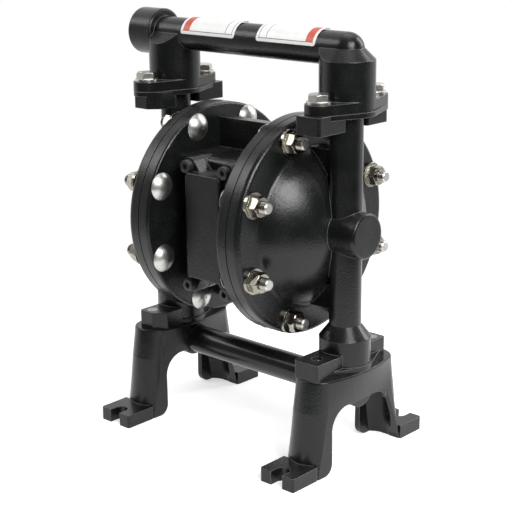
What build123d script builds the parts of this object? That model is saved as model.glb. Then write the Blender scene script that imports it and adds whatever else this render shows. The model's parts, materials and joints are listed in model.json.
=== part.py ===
from build123d import *
import os
from math import cos, radians, sin, sqrt

# Air operated diaphragm pump, half-inch size. Millimetres.
# Frame: the pump stands on Z = 0 with its two diaphragms on one axis along X.
# X = 0 and Y = 0 lie midway between the four feet.

# ---------------------------------------------------------------- driving sizes
M8_R = 4.0
M8_HOLE_R = 4.25
COLUMN_X = 82.0            # column and post axes stand at X = +COLUMN_X and -COLUMN_X
PUMP_AXIS_Z = 164.0        # height of the diaphragm axis

DOME_BASE_R = 56.5         # where the cap's dome meets its flange face
NUT_FLANGE_R = 9.0
NUT_TO_DOME = 2.5          # clearance of the nuts round the dome
FLANGE_EDGE = 9.5          # flange past the bolt circle
BOLT_CIRCLE_R = DOME_BASE_R + NUT_TO_DOME + NUT_FLANGE_R
FLANGE_R = BOLT_CIRCLE_R + FLANGE_EDGE
BODY_FACE_X = 33.0         # inner face of each body flange
JOINT_X = 42.5             # face where body and cap meet
CAP_FACE_X = 53.0          # outer face of the cap's flange
FLANGE_ROUND = 3.5
BODY_FLANGE_ROUND = 2.0
BOLT_COUNT = 8

DOME_R = 72.0              # outer sphere of the cap
DOME_FILLET = 5.0
CAP_WALL = 5.0
CROSSING = 34.0            # passages from the chamber to the column, above and below the axis
CROSSING_R = 6.5
BOSS_R = 16.0
BOSS_END_X = 101.0
BOSS_ROUND = 2.0

COLUMN_R = 11.3
PASSAGE_R = 7.0
HUB_R = 18.3
HUB_TOP_Z = 90.0
HUB_CONE_TOP_Z = 99.0
FOOT_JOINT_Z = 68.3        # cap hub stands on the foot here
OUTLET_JOINT_Z = 249.0     # outlet manifold sits on the caps here
EAR_HEIGHT = 12.5
FOOT_SCREW_Y = 30.5        # screws of the foot joint, front and back of each column
OUTLET_SCREW_Y = 29.0      # screws of the outlet manifold
EAR_HALF_X = 10.3          # square ear of each joint
EAR_EDGE = 12.0            # square ear past its screw
SLIM_EAR_HALF_X = 7.0      # the ear across from it, with its inner corner cut off
SLIM_EAR_EDGE = 6.8
SLIM_EAR_CUT = 8.0
EAR_ROOT_Y = 13.0          # both run in to here
EAR_ROUND = 1.8
JOINT_PLATE = 3.5          # thin plate round each manifold joint
PLATE_LEDGE = 1.2          # that plate stands proud of what it meets

MANIFOLD_FLANGE = 7.0
MANIFOLD_END_R = 9.7       # the flange's round ends, about the screws
POST_R = 19.0
RAIL_Z = 288.5
RAIL_R = 11.5
RAIL_BORE_R = 7.5
COLLAR_CHAMFER = 1.2
POST_SHOULDER_Z = 282.0    # the post's 45 degree shoulders start here
SHOULDER_TOP_Z = 289.7
COLLAR_R = 17.0
COLLAR_X = 91.5
PORT_END_X = 114.5
PORT_TAP_R = 9.3           # tapping size of a half-inch pipe thread
PORT_DEPTH = 16.0

TUBE_R = 10.6              # inlet tube between the feet
TUBE_Z = 53.5
TUBE_SOCKET = 6.0          # how far the tube goes into each foot
INLET_BOSS_R = FOOT_JOINT_Z - TUBE_Z - 0.8
INLET_BOSS_END_X = 103.0
ELBOW_WALL = 2.5

FOOT_HALF_X = 15.0         # foot's outline at the floor
FOOT_CORNER_Y = 46.0
FOOT_END_Y = 52.0
KNEE_HALF_X = 14.5         # at the top of the arch
KNEE_CORNER_Y = 35.5
KNEE_END_Y = 47.5
FOOT_TOP_HALF_X = 14.0     # and under the cap
FOOT_TOP_BULGE_X = 20.0
FOOT_TOP_CORNER_Y = 35.0
FOOT_TOP_END_Y = 43.5
SIDE_BOW = 0.4
FOOT_TOP_ROUND = 1.2
FOOT_WALL = 4.0
FOOT_PAD = 10.0
FOOT_TIP_Y = 72.6
PAD_ROOT = 4.4             # how far the pad runs in under the leg
PAD_ROUND = 1.5
SLOT_W = 10.2
SLOT_DEPTH = 11.3
ARCH_HALF_Y = 31.5
ARCH_TOP_Z = 46.0
ARCH_ROUND = 16.0
CHEEK_ROUND = 8.0
SLOPE_END_Y = 47.0         # the shallow cheek meets the pad here
SLOPE_END_Z = 3.0
FOOT_EAR_Z = 60.0          # underside of the foot's screw ears

BALL_R = 9.5
BALL_LIFT = 6.0
BALL_GUIDE_GAP = 0.4
CAVITY_R = 12.5
SEAT_R = 15.0
SEAT_H = 5.0
SEAT_BORE_R = 7.5
SEAT_GAP = 0.1             # ball above its seat when it rests
RIB_W = 3.0
O_RING_R = 11.75
O_RING_SECTION_R = 0.75

BOX_HALF_Y = 38.0          # centre body between its flanges
BOX_TOP_Z = 210.0
BOX_BOTTOM_Z = 121.0
BOX_ROUND = 5.0
WEB_T = 8.0
WEB_REACH = 68.0
SHAFT_R = 8.0
RUN_GAP = 0.05             # radial clearance of the sliding fits
SHAFT_STROKE = 5.0
BUSH_WALL = 2.0
BUSH_L = 12.0
CHAMBER_R = DOME_BASE_R - 0.5
CHAMBER_FLOOR_X = 36.0
POCKET_R = 32.0
POCKET_FLOOR_X = 31.0

RIM_R = BOLT_CIRCLE_R - M8_HOLE_R - 1.75   # diaphragm
RUBBER_T = 3.0
ROLL = 3.0                 # steps in the rolling part of the rubber
DISC_R = CHAMBER_R - 12.2
DISC_GAP = 0.4
DISC_FACE_X = 44.0         # air side of the moving disc when centred
PLATE_IN_R = 26.0
PLATE_OUT_R = 28.0
PLATE_T = 5.0
END_SCREW_HEAD_R = 9.0
END_SCREW_HEAD = 7.0
END_SCREW_L = 30.0

PILOT_R = 2.5
PILOT_Y = 18.0
PILOT_END_GAP = 0.05
PILOT_RATIO = 0.5

VALVE_HALF_X = 16.5
VALVE_DEPTH = 17.1
VALVE_TOP_Z = 201.5
VALVE_BOTTOM_Z = 126.0
VALVE_ROUND = 3.0
GASKET_T = 1.4
SPOOL_R = 5.2
SPOOL_WAIST = 0.55         # waists of the spool, share of its radius
SPOOL_TRAVEL = 5.0
PLUG_T = 6.0
PLUG_R = 6.8
VALVE_SCREW_X = 18.0
VALVE_SCREW_TOP_Z = VALVE_TOP_Z + 3.5
VALVE_SCREW_LOW_Z = VALVE_BOTTOM_Z - 7.0
VALVE_SCREW_R = 2.5
VALVE_SCREW_HOLE_R = 2.8
VALVE_SCREW_GRIP = 5.0     # thread in the centre body
VALVE_BOSS_R = 6.0
VALVE_BOSS_BACK = 8.0      # stub of the boss on the centre body
EAR_FACE = 6.5             # ear's face, back from the front of the valve

AIR_PORT_Z = 188.0
EXHAUST_Z = 143.0
PORT_BOSS_R = 13.0
PORT_BOSS_L = 7.0
AIR_PORT_DEPTH = 14.0
AIR_TAP_R = 5.9            # tapping size of a quarter-inch pipe thread
MUFFLER_R = 11.5
MUFFLER_L = 24.0
MUFFLER_NECK_R = 6.5
MUFFLER_NECK_L = 12.0
SLIT_PITCH = 4.3           # slits round the muffler
SLIT_W = 1.6
SLIT_DEPTH = 1.2

HEX_AF = 13.0
HEX_HEAD = 4.8
WASHER_R = 8.4
WASHER_T = 1.8
NUT_H = 9.5
NUT_FLANGE_T = 2.4
DOME_HEAD_R = 10.0
DOME_HEAD_H = 5.0
STUD_PAST_NUT = 6.0
TIP_CHAMFER = 0.8
SOCKET_HEAD_R = 4.5
SOCKET_HEAD = 5.0
SOCKET_R = 2.3
SOCKET_DEPTH = 2.5


# ---------------------------------------------------------------- plain helpers
def bar_x(radius, x_from, x_to, y=0.0, z=PUMP_AXIS_Z):
    return Pos((x_from + x_to) / 2, y, z) * Rot(0, 90, 0) * Cylinder(radius, abs(x_to - x_from))


def bar_y(radius, y_from, y_to, x=0.0, z=PUMP_AXIS_Z):
    return Pos(x, (y_from + y_to) / 2, z) * Rot(90, 0, 0) * Cylinder(radius, abs(y_to - y_from))


def bar_z(radius, z_from, z_to, x=0.0, y=0.0):
    return Pos(x, y, (z_from + z_to) / 2) * Cylinder(radius, abs(z_to - z_from))


def block(x_from, x_to, y_from, y_to, z_from, z_to):
    centre = Pos((x_from + x_to) / 2, (y_from + y_to) / 2, (z_from + z_to) / 2)
    return centre * Box(x_to - x_from, y_to - y_from, z_to - z_from)


def mirrored(shape):
    return mirror(shape, Plane.YZ)


def flange_spots():
    """Places on the flange's bolt circle, looking along +X."""
    step = 360.0 / BOLT_COUNT
    for number in range(BOLT_COUNT):
        angle = radians(step * (number + 0.5))
        yield BOLT_CIRCLE_R * cos(angle), PUMP_AXIS_Z + BOLT_CIRCLE_R * sin(angle)


def turned(shape):
    return Rot(0, 0, 180) * shape


def joint_plan(middle_r, end_r, screw_y):
    """Plan of a joint plate: a round middle drawn out to round ends about the screws."""
    spots = [Circle(middle_r)] + [Pos(0, y) * Circle(end_r) for y in (-screw_y, screw_y)]
    return make_hull((Sketch() + spots).edges())


def square_ear(screw_y, z_from, z_to):
    """Ear in front of the column, round its screw."""
    ear = block(-EAR_HALF_X, EAR_HALF_X, -screw_y - EAR_EDGE, -EAR_ROOT_Y, z_from, z_to)
    return fillet(ear.edges().filter_by(Axis.Z), EAR_ROUND)


def slim_ear(screw_y, z_from, z_to):
    """Ear behind the column, narrower, with its inner corner cut off to the dome."""
    half, cut, end_y = SLIM_EAR_HALF_X, SLIM_EAR_CUT, screw_y + SLIM_EAR_EDGE
    outline = Polyline((half, EAR_ROOT_Y), (half, end_y), (-half, end_y), (-half - cut, end_y - cut),
                       (-half - cut, EAR_ROOT_Y), close=True)
    ear = Pos(0, 0, z_from) * extrude(make_face(outline), z_to - z_from)
    return fillet(ear.edges().filter_by(Axis.Z), EAR_ROUND)


def save(shape, name):
    export_step(Compound(label=name, children=list(shape.solids())) if len(shape.solids()) > 1
                else shape.solids()[0], f"parts/{name}.step")


# ---------------------------------------------------------------- ball valves
BALL_OVER_SEAT = sqrt(BALL_R ** 2 - SEAT_BORE_R ** 2) + SEAT_GAP
ROOF_OVER_BALL = sqrt(BALL_R ** 2 - PASSAGE_R ** 2) + SEAT_GAP


def ball_z(joint_z):
    return joint_z + SEAT_H + BALL_OVER_SEAT


def roof_z(joint_z):
    return ball_z(joint_z) + BALL_LIFT + ROOF_OVER_BALL


def ball_room(joint_z):
    """Room over a joint for a seat ring and its ball, with four guide ribs left standing."""
    top = roof_z(joint_z)
    room = bar_z(CAVITY_R, joint_z + SEAT_H, top)
    for quarter in range(4):
        rib = Pos(BALL_R + BALL_GUIDE_GAP + CAVITY_R / 2, 0, (joint_z + SEAT_H + top) / 2) * Box(
            CAVITY_R, RIB_W, top - joint_z - SEAT_H)
        room -= Rot(0, 0, 45 + 90 * quarter) * rib
    return room + bar_z(SEAT_R, joint_z, joint_z + SEAT_H)


def seat_ring(joint_z):
    return bar_z(SEAT_R, joint_z, joint_z + SEAT_H) - bar_z(SEAT_BORE_R, joint_z, joint_z + SEAT_H)


def o_ring(joint_z):
    return Pos(0, 0, joint_z - O_RING_SECTION_R) * Torus(O_RING_R, O_RING_SECTION_R)


def o_ring_groove(joint_z):
    depth = 2 * O_RING_SECTION_R
    outer = bar_z(O_RING_R + depth, joint_z - depth, joint_z)
    return outer - bar_z(O_RING_R - O_RING_SECTION_R, joint_z - depth, joint_z)


# ---------------------------------------------------------------- fluid cap
def fluid_cap():
    """Right-hand cap: flange, dome, boss, and the column that carries the fluid past it."""
    dome_x = CAP_FACE_X - sqrt(DOME_R ** 2 - DOME_BASE_R ** 2)
    half_flange = Pos((JOINT_X + CAP_FACE_X) / 2, FLANGE_R / 2) * Rectangle(CAP_FACE_X - JOINT_X, FLANGE_R)
    past_joint = Pos(JOINT_X + DOME_R / 2, DOME_R / 2) * Rectangle(DOME_R, DOME_R)
    section = half_flange + (Pos(dome_x, 0) * Circle(DOME_R) & past_joint)
    for corner_r, radius in ((DOME_BASE_R, DOME_FILLET), (FLANGE_R, FLANGE_ROUND)):
        corner = section.vertices().sort_by_distance((CAP_FACE_X, corner_r, 0))[0]
        section = fillet(corner, radius)
    cap = Pos(0, 0, PUMP_AXIS_Z) * revolve(section, Axis.X)

    boss = bar_x(BOSS_R, COLUMN_X - COLUMN_R, BOSS_END_X)
    cap += fillet(boss.faces().sort_by(Axis.X)[-1].edges(), BOSS_ROUND)

    column = bar_z(COLUMN_R, HUB_TOP_Z, OUTLET_JOINT_Z)
    column += bar_z(HUB_R, FOOT_JOINT_Z, HUB_TOP_Z)
    cone_h = HUB_CONE_TOP_Z - HUB_TOP_Z
    column += Pos(0, 0, HUB_TOP_Z + cone_h / 2) * Cone(HUB_R, COLUMN_R, cone_h)

    plate = joint_plan(HUB_R + PLATE_LEDGE, SLIM_EAR_EDGE, FOOT_SCREW_Y)
    column += Pos(0, 0, FOOT_JOINT_Z) * extrude(plate, JOINT_PLATE)
    plate = joint_plan(POST_R + PLATE_LEDGE, MANIFOLD_END_R, OUTLET_SCREW_Y)
    column += Pos(0, 0, OUTLET_JOINT_Z - JOINT_PLATE) * extrude(plate, JOINT_PLATE)
    for ear in (square_ear, slim_ear):
        column += ear(FOOT_SCREW_Y, FOOT_JOINT_Z, FOOT_JOINT_Z + EAR_HEIGHT)
        column += ear(OUTLET_SCREW_Y, OUTLET_JOINT_Z - EAR_HEIGHT, OUTLET_JOINT_Z)
    cap += Pos(COLUMN_X, 0, 0) * column

    # webs from the column to the dome and the flange
    web = block((JOINT_X + CAP_FACE_X) / 2, COLUMN_X, -WEB_T / 2, WEB_T / 2,
                PUMP_AXIS_Z - DOME_BASE_R, PUMP_AXIS_Z + DOME_BASE_R)
    cap += web

    # inside: pump chamber, passages, ball room and screw holes
    chamber = Pos(dome_x, 0) * Circle(DOME_R - CAP_WALL) & past_joint
    cap -= Pos(0, 0, PUMP_AXIS_Z) * revolve(chamber, Axis.X)
    for side in (-1, 1):
        z = PUMP_AXIS_Z + side * CROSSING
        cap -= bar_x(CROSSING_R, CAP_FACE_X + WEB_T / 2, COLUMN_X, z=z)
    cap -= Pos(COLUMN_X, 0, 0) * bar_z(PASSAGE_R, PUMP_AXIS_Z + CROSSING, OUTLET_JOINT_Z)
    cap -= Pos(COLUMN_X, 0, 0) * bar_z(PASSAGE_R, roof_z(FOOT_JOINT_Z) - 1, PUMP_AXIS_Z - CROSSING)
    cap -= Pos(COLUMN_X, 0, 0) * ball_room(FOOT_JOINT_Z)
    cap -= Pos(COLUMN_X, 0, 0) * o_ring_groove(OUTLET_JOINT_Z)
    for side in (-1, 1):
        cap -= bar_z(M8_R, FOOT_JOINT_Z, FOOT_JOINT_Z + EAR_HEIGHT, COLUMN_X, side * FOOT_SCREW_Y)
        cap -= bar_z(M8_R, OUTLET_JOINT_Z - EAR_HEIGHT, OUTLET_JOINT_Z, COLUMN_X, side * OUTLET_SCREW_Y)
    for y, z in flange_spots():
        cap -= bar_x(M8_HOLE_R, JOINT_X, CAP_FACE_X, y, z)
    return cap


# ---------------------------------------------------------------- outlet manifold
def outlet_manifold():
    """Handle rail on two posts, with the outlet port in the collar at its left end."""
    plate = joint_plan(POST_R, MANIFOLD_END_R, OUTLET_SCREW_Y)
    post = Pos(0, 0, OUTLET_JOINT_Z) * extrude(plate, MANIFOLD_FLANGE)
    post += bar_z(POST_R, OUTLET_JOINT_Z, SHOULDER_TOP_Z)

    # 45 degree shoulders run along the rail; the right post's outer half is coned instead
    drop = SHOULDER_TOP_Z - POST_SHOULDER_Z
    shoulder = Polyline((-POST_R, POST_SHOULDER_Z), (-POST_R + drop, SHOULDER_TOP_Z),
                        (POST_R - drop, SHOULDER_TOP_Z), (POST_R, POST_SHOULDER_Z),
                        (POST_R, 0), (-POST_R, 0), close=True)
    prism = extrude(Plane.YZ * make_face(shoulder), POST_R, both=True)
    reach_y = OUTLET_SCREW_Y + MANIFOLD_END_R
    slab = block(-POST_R, POST_R, -reach_y, reach_y, OUTLET_JOINT_Z, POST_SHOULDER_Z)
    left_post = post & (prism + slab)
    coned = Pos(0, 0, POST_SHOULDER_Z + drop / 2) * Cone(POST_R, POST_R - drop, drop)
    inner_half = block(-POST_R, 0, -POST_R, POST_R, POST_SHOULDER_Z, SHOULDER_TOP_Z)
    right_post = post & (slab + (prism & inner_half) + coned)

    rail = bar_x(RAIL_R, -COLLAR_X, COLUMN_X, z=RAIL_Z)
    rail += Pos(COLUMN_X, 0, RAIL_Z) * Sphere(RAIL_R)
    collar = bar_x(COLLAR_R, -PORT_END_X, -COLLAR_X, z=RAIL_Z)
    collar = chamfer(collar.edges().filter_by(GeomType.CIRCLE), COLLAR_CHAMFER)
    manifold = rail + collar + Pos(-COLUMN_X, 0, 0) * left_post + Pos(COLUMN_X, 0, 0) * right_post

    manifold -= bar_x(RAIL_BORE_R, -PORT_END_X, COLUMN_X, z=RAIL_Z)
    manifold -= bar_x(PORT_TAP_R, -PORT_END_X, -PORT_END_X + PORT_DEPTH, z=RAIL_Z)
    for x in (-COLUMN_X, COLUMN_X):
        manifold -= Pos(x, 0, 0) * ball_room(OUTLET_JOINT_Z)
        manifold -= bar_z(PASSAGE_R, roof_z(OUTLET_JOINT_Z) - 1, RAIL_Z, x)
        for y in (-OUTLET_SCREW_Y, OUTLET_SCREW_Y):
            manifold -= bar_z(M8_HOLE_R, OUTLET_JOINT_Z, OUTLET_JOINT_Z + MANIFOLD_FLANGE, x, y)
    return manifold


# ---------------------------------------------------------------- feet
def foot_section(half_x, side_bulge, corner_y, end_y, inset=0.0):
    """One level of the foot's outline: a bowed end front and back, slightly bowed sides."""
    half_x, side_bulge = half_x - inset, side_bulge - inset
    corner_y, end_y = corner_y - inset / 2, end_y - inset
    front = ThreePointArc((-half_x, -corner_y), (0, -end_y), (half_x, -corner_y))
    right = ThreePointArc((half_x, -corner_y), (side_bulge, 0), (half_x, corner_y))
    back = ThreePointArc((half_x, corner_y), (0, end_y), (-half_x, corner_y))
    left = ThreePointArc((-half_x, corner_y), (-side_bulge, 0), (-half_x, -corner_y))
    return make_face([front, right, back, left])


def foot_hull(inset, top_z):
    low = foot_section(FOOT_HALF_X, FOOT_HALF_X + SIDE_BOW, FOOT_CORNER_Y, FOOT_END_Y, inset)
    knee = foot_section(KNEE_HALF_X, FOOT_HALF_X + SIDE_BOW, KNEE_CORNER_Y, KNEE_END_Y, inset)
    top = foot_section(FOOT_TOP_HALF_X, FOOT_TOP_BULGE_X, FOOT_TOP_CORNER_Y, FOOT_TOP_END_Y, inset)
    knee = Pos(0, 0, ARCH_TOP_Z) * knee
    return loft([low, knee], ruled=True) + loft([knee, Pos(0, 0, top_z) * top], ruled=True)


def foot():
    """One foot casting: screw ears and elbow on two open-backed legs with slotted pads.
    It is the same seen from either end, so each leg's deep cheek is on its right."""
    body = foot_hull(0, FOOT_JOINT_Z)
    body = fillet(body.faces().sort_by(Axis.Z)[-1].edges(), FOOT_TOP_ROUND)

    # the hollow of each leg
    wide, long = FOOT_TOP_BULGE_X, FOOT_TIP_Y
    hollow = foot_hull(FOOT_WALL, FOOT_JOINT_Z) & block(-wide, wide, -long, long, 0, FOOT_EAR_Z)
    middle = block(-wide, wide, -ARCH_HALF_Y + ARCH_ROUND * 0.72, ARCH_HALF_Y - ARCH_ROUND * 0.72,
                   0, FOOT_JOINT_Z)
    body -= hollow - middle

    # the arch between the legs, with the cheeks rounded where they reach the floor
    arch = Pos(0, 0) * Rectangle(2 * ARCH_HALF_Y, 2 * ARCH_TOP_Z)
    arch = fillet(arch.vertices().group_by(Axis.Y)[-1], ARCH_ROUND)
    for side in (-1, 1):
        centre_y = side * (ARCH_HALF_Y + CHEEK_ROUND)
        corner = Pos(side * (ARCH_HALF_Y + CHEEK_ROUND / 2), CHEEK_ROUND / 2) * Rectangle(
            CHEEK_ROUND, CHEEK_ROUND)
        arch += corner - Pos(centre_y, CHEEK_ROUND) * Circle(CHEEK_ROUND)
    body -= extrude(Plane.YZ * arch, wide, both=True)

    # each leg's shallow cheek slopes out to the pad
    start_y = ARCH_HALF_Y - FOOT_WALL / 2
    slope = make_face(Polyline((start_y, ARCH_TOP_Z), (start_y, -SLOPE_END_Z),
                               (SLOPE_END_Y, -SLOPE_END_Z), (SLOPE_END_Y, SLOPE_END_Z), close=True))
    for half in (lambda shape: shape, turned):
        body -= half(extrude(Plane.YZ * slope, wide))

    for side in (-1, 1):
        root_y = side * (FOOT_END_Y - PAD_ROOT)
        pad = block(-FOOT_HALF_X, FOOT_HALF_X, *sorted((root_y, side * FOOT_TIP_Y)), 0, FOOT_PAD)
        pad = fillet(pad.edges().filter_by(Axis.Z).group_by(Axis.Y)[0 if side < 0 else -1], PAD_ROUND)
        slot_y = side * (FOOT_TIP_Y - SLOT_DEPTH + SLOT_W / 2)
        slot = block(-SLOT_W / 2, SLOT_W / 2, *sorted((slot_y, side * FOOT_TIP_Y)), 0, FOOT_PAD)
        body += pad - slot - bar_z(SLOT_W / 2, 0, FOOT_PAD, 0, slot_y)

    # elbow boss hanging under the middle, its passage, and the screw holes
    body += bar_x(TUBE_R + ELBOW_WALL, -FOOT_HALF_X, FOOT_HALF_X, z=TUBE_Z)
    body -= bar_z(PASSAGE_R, TUBE_Z, FOOT_JOINT_Z)
    body -= o_ring_groove(FOOT_JOINT_Z)
    for y in (-FOOT_SCREW_Y, FOOT_SCREW_Y):
        body -= bar_z(M8_HOLE_R, FOOT_EAR_Z, FOOT_JOINT_Z, 0, y)
    return body


def tube_socket():
    """What the right foot loses to the inlet tube: a socket from the left and the way to the elbow."""
    socket = bar_x(TUBE_R, -2 * FOOT_HALF_X, -FOOT_HALF_X + TUBE_SOCKET, z=TUBE_Z)
    return socket + bar_x(PASSAGE_R, -FOOT_HALF_X, 0, z=TUBE_Z)


def inlet_boss():
    """Port boss on the outer side of the left foot."""
    return bar_x(INLET_BOSS_R, -INLET_BOSS_END_X, -COLUMN_X - FOOT_HALF_X + FOOT_WALL / 2, z=TUBE_Z)


def inlet_port():
    tapped = bar_x(PORT_TAP_R, -INLET_BOSS_END_X, -INLET_BOSS_END_X + PORT_DEPTH, z=TUBE_Z)
    return tapped + bar_x(PASSAGE_R, -INLET_BOSS_END_X, -COLUMN_X, z=TUBE_Z)


# ---------------------------------------------------------------- centre body
VALVE_PAD_Y = -BOX_HALF_Y
BLOCK_BACK_Y = VALVE_PAD_Y - GASKET_T
VALVE_FRONT_Y = BLOCK_BACK_Y - VALVE_DEPTH
SCREW_SEAT_Y = VALVE_FRONT_Y + EAR_FACE
SPOOL_Y = (VALVE_FRONT_Y + BLOCK_BACK_Y) / 2
SPOOL_L = VALVE_TOP_Z - VALVE_BOTTOM_Z - 2 * PLUG_T - SPOOL_TRAVEL
PORT_FACE_Y = BOX_HALF_Y + PORT_BOSS_L
PILOT_HALF_L = DISC_FACE_X - PLATE_T - SHAFT_STROKE * (1 - PILOT_RATIO) - PILOT_END_GAP


def valve_spots():
    """Places of the four screws that hold the air valve."""
    for x in (-VALVE_SCREW_X, VALVE_SCREW_X):
        for z in (VALVE_SCREW_TOP_Z, VALVE_SCREW_LOW_Z):
            yield x, z


def center_body():
    body = block(-BODY_FACE_X, BODY_FACE_X, -BOX_HALF_Y, BOX_HALF_Y, BOX_BOTTOM_Z, BOX_TOP_Z)
    body = fillet(body.edges().filter_by(Axis.X), BOX_ROUND)
    body += block(-BODY_FACE_X, BODY_FACE_X, -WEB_T / 2, WEB_T / 2,
                  PUMP_AXIS_Z - WEB_REACH, PUMP_AXIS_Z + WEB_REACH)
    for x, z in valve_spots():
        body += bar_y(VALVE_BOSS_R, VALVE_PAD_Y, VALVE_PAD_Y + VALVE_BOSS_BACK, x, z)

    # air inlet and exhaust bosses at the back
    for z in (AIR_PORT_Z, EXHAUST_Z):
        boss = bar_y(PORT_BOSS_R, BOX_HALF_Y / 2, PORT_FACE_Y, 0, z)
        body += fillet(boss.faces().sort_by(Axis.Y)[-1].edges(), 1.5)
    body -= bar_y(AIR_TAP_R, PORT_FACE_Y - AIR_PORT_DEPTH, PORT_FACE_Y, 0, AIR_PORT_Z)
    body -= bar_y(MUFFLER_NECK_R, PORT_FACE_Y - AIR_PORT_DEPTH, PORT_FACE_Y, 0, EXHAUST_Z)

    # shaft bore with its bushes, room for the inner plates, pilot bore
    body -= bar_x(SHAFT_R + BUSH_WALL, -BODY_FACE_X, BODY_FACE_X)
    for side in (-1, 1):
        body -= bar_x(POCKET_R, side * POCKET_FLOOR_X, side * BODY_FACE_X)
    for x, z in valve_spots():
        body -= bar_y(VALVE_SCREW_R, VALVE_PAD_Y, VALVE_PAD_Y + VALVE_SCREW_GRIP, x, z)
    body -= bar_x(PILOT_R + RUN_GAP, -BODY_FACE_X, BODY_FACE_X, PILOT_Y)
    return body


def air_chamber():
    """Right-hand air chamber: the flange that the cap is bolted to, hollow behind the diaphragm."""
    chamber = bar_x(FLANGE_R, BODY_FACE_X, JOINT_X)
    chamber = fillet(chamber.faces().sort_by(Axis.X)[0].edges(), BODY_FLANGE_ROUND)
    chamber -= bar_x(RIM_R, JOINT_X - RUBBER_T, JOINT_X)
    chamber -= bar_x(CHAMBER_R, CHAMBER_FLOOR_X, JOINT_X)
    chamber -= bar_x(POCKET_R, BODY_FACE_X, CHAMBER_FLOOR_X)
    for y, z in flange_spots():
        chamber -= bar_x(M8_HOLE_R, BODY_FACE_X, JOINT_X, y, z)
    return chamber


def shaft_bush():
    end = POCKET_FLOOR_X
    ring = bar_x(SHAFT_R + BUSH_WALL, end - BUSH_L, end)
    return ring - bar_x(SHAFT_R + RUN_GAP, end - BUSH_L, end)


def diaphragm_rim():
    """Clamped rim and rolling part of the rubber, out to the moving disc."""
    base_x = JOINT_X - RUBBER_T
    inner_r = DISC_R + DISC_GAP
    outline = Polyline((base_x, RIM_R), (JOINT_X, RIM_R), (JOINT_X, CHAMBER_R - ROLL),
                       (DISC_FACE_X + RUBBER_T, CHAMBER_R - 3 * ROLL),
                       (DISC_FACE_X + RUBBER_T, inner_r), (DISC_FACE_X, inner_r),
                       (base_x, CHAMBER_R - 2 * ROLL), close=True)
    ring = revolve(make_face(outline), Axis.X)
    return Pos(0, 0, PUMP_AXIS_Z) * ring


def moving_disc():
    disc = bar_x(DISC_R, DISC_FACE_X, DISC_FACE_X + RUBBER_T)
    return disc - bar_x(M8_R, DISC_FACE_X, DISC_FACE_X + RUBBER_T)


def inner_plate():
    plate = bar_x(PLATE_IN_R, DISC_FACE_X - PLATE_T, DISC_FACE_X)
    plate = fillet(plate.faces().sort_by(Axis.X)[0].edges(), 2)
    return plate - bar_x(M8_R, DISC_FACE_X - PLATE_T, DISC_FACE_X)


def outer_plate():
    start = DISC_FACE_X + RUBBER_T
    plate = bar_x(PLATE_OUT_R, start, start + PLATE_T)
    plate = fillet(plate.faces().sort_by(Axis.X)[-1].edges(), 3.5)
    return plate - bar_x(M8_R, start, start + PLATE_T)


def hexagon_bar_x(across_flats, x_from, x_to):
    face = Plane.YZ * RegularPolygon(across_flats / 2, 6, major_radius=False)
    return Pos(x_from, 0, PUMP_AXIS_Z) * extrude(face, x_to - x_from)


def end_screw():
    start = DISC_FACE_X + RUBBER_T + PLATE_T
    head = bar_x(END_SCREW_HEAD_R, start, start + 2) + hexagon_bar_x(HEX_AF, start, start + END_SCREW_HEAD)
    return head + bar_x(M8_R, start - END_SCREW_L, start)


def diaphragm_rod():
    half = DISC_FACE_X - PLATE_T
    rod = bar_x(SHAFT_R, -half, half)
    depth = DISC_FACE_X + RUBBER_T + PLATE_T - END_SCREW_L
    for side in (-1, 1):
        rod -= bar_x(M8_R, side * depth, side * half)
    return rod


# ---------------------------------------------------------------- air valve
def valve_ears(y_from, y_to):
    """The four ears of the valve, each drawn in to the block's corner."""
    ears = []
    for x, z in valve_spots():
        inner_x = x / abs(x) * (VALVE_HALF_X - VALVE_BOSS_R)
        inner_z = min(max(z, VALVE_BOTTOM_Z + VALVE_BOSS_R), VALVE_TOP_Z - VALVE_BOSS_R)
        pair = Sketch() + [Pos(x, z) * Circle(VALVE_BOSS_R), Pos(inner_x, inner_z) * Circle(VALVE_BOSS_R)]
        ears.append(Pos(0, y_to, 0) * extrude(Plane.XZ * make_hull(pair.edges()), y_to - y_from))
    return Part() + ears


def valve_block():
    body = block(-VALVE_HALF_X, VALVE_HALF_X, VALVE_FRONT_Y, BLOCK_BACK_Y, VALVE_BOTTOM_Z, VALVE_TOP_Z)
    body = fillet(body.edges().filter_by(Axis.Y), VALVE_ROUND)
    body = fillet(body.faces().sort_by(Axis.Y)[0].edges(), VALVE_ROUND / 3)
    body += valve_ears(SCREW_SEAT_Y, BLOCK_BACK_Y)
    for x, z in valve_spots():
        body -= bar_y(VALVE_SCREW_HOLE_R, VALVE_FRONT_Y, BLOCK_BACK_Y, x, z)
        body -= bar_y(SOCKET_HEAD_R, VALVE_FRONT_Y, SCREW_SEAT_Y, x, z)
    body -= bar_z(SPOOL_R + RUN_GAP, VALVE_BOTTOM_Z, VALVE_TOP_Z, 0, SPOOL_Y)
    for end, inner in ((VALVE_BOTTOM_Z, VALVE_BOTTOM_Z + PLUG_T), (VALVE_TOP_Z - PLUG_T, VALVE_TOP_Z)):
        body -= bar_z(PLUG_R, end, inner, 0, SPOOL_Y)
    return body


def valve_gasket():
    sheet = block(-VALVE_HALF_X, VALVE_HALF_X, BLOCK_BACK_Y, VALVE_PAD_Y, VALVE_BOTTOM_Z, VALVE_TOP_Z)
    sheet += valve_ears(BLOCK_BACK_Y, VALVE_PAD_Y)
    for x, z in valve_spots():
        sheet -= bar_y(VALVE_SCREW_HOLE_R, BLOCK_BACK_Y, VALVE_PAD_Y, x, z)
    return sheet


def valve_plug(z_from):
    return bar_z(PLUG_R, z_from, z_from + PLUG_T, 0, SPOOL_Y)


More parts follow.
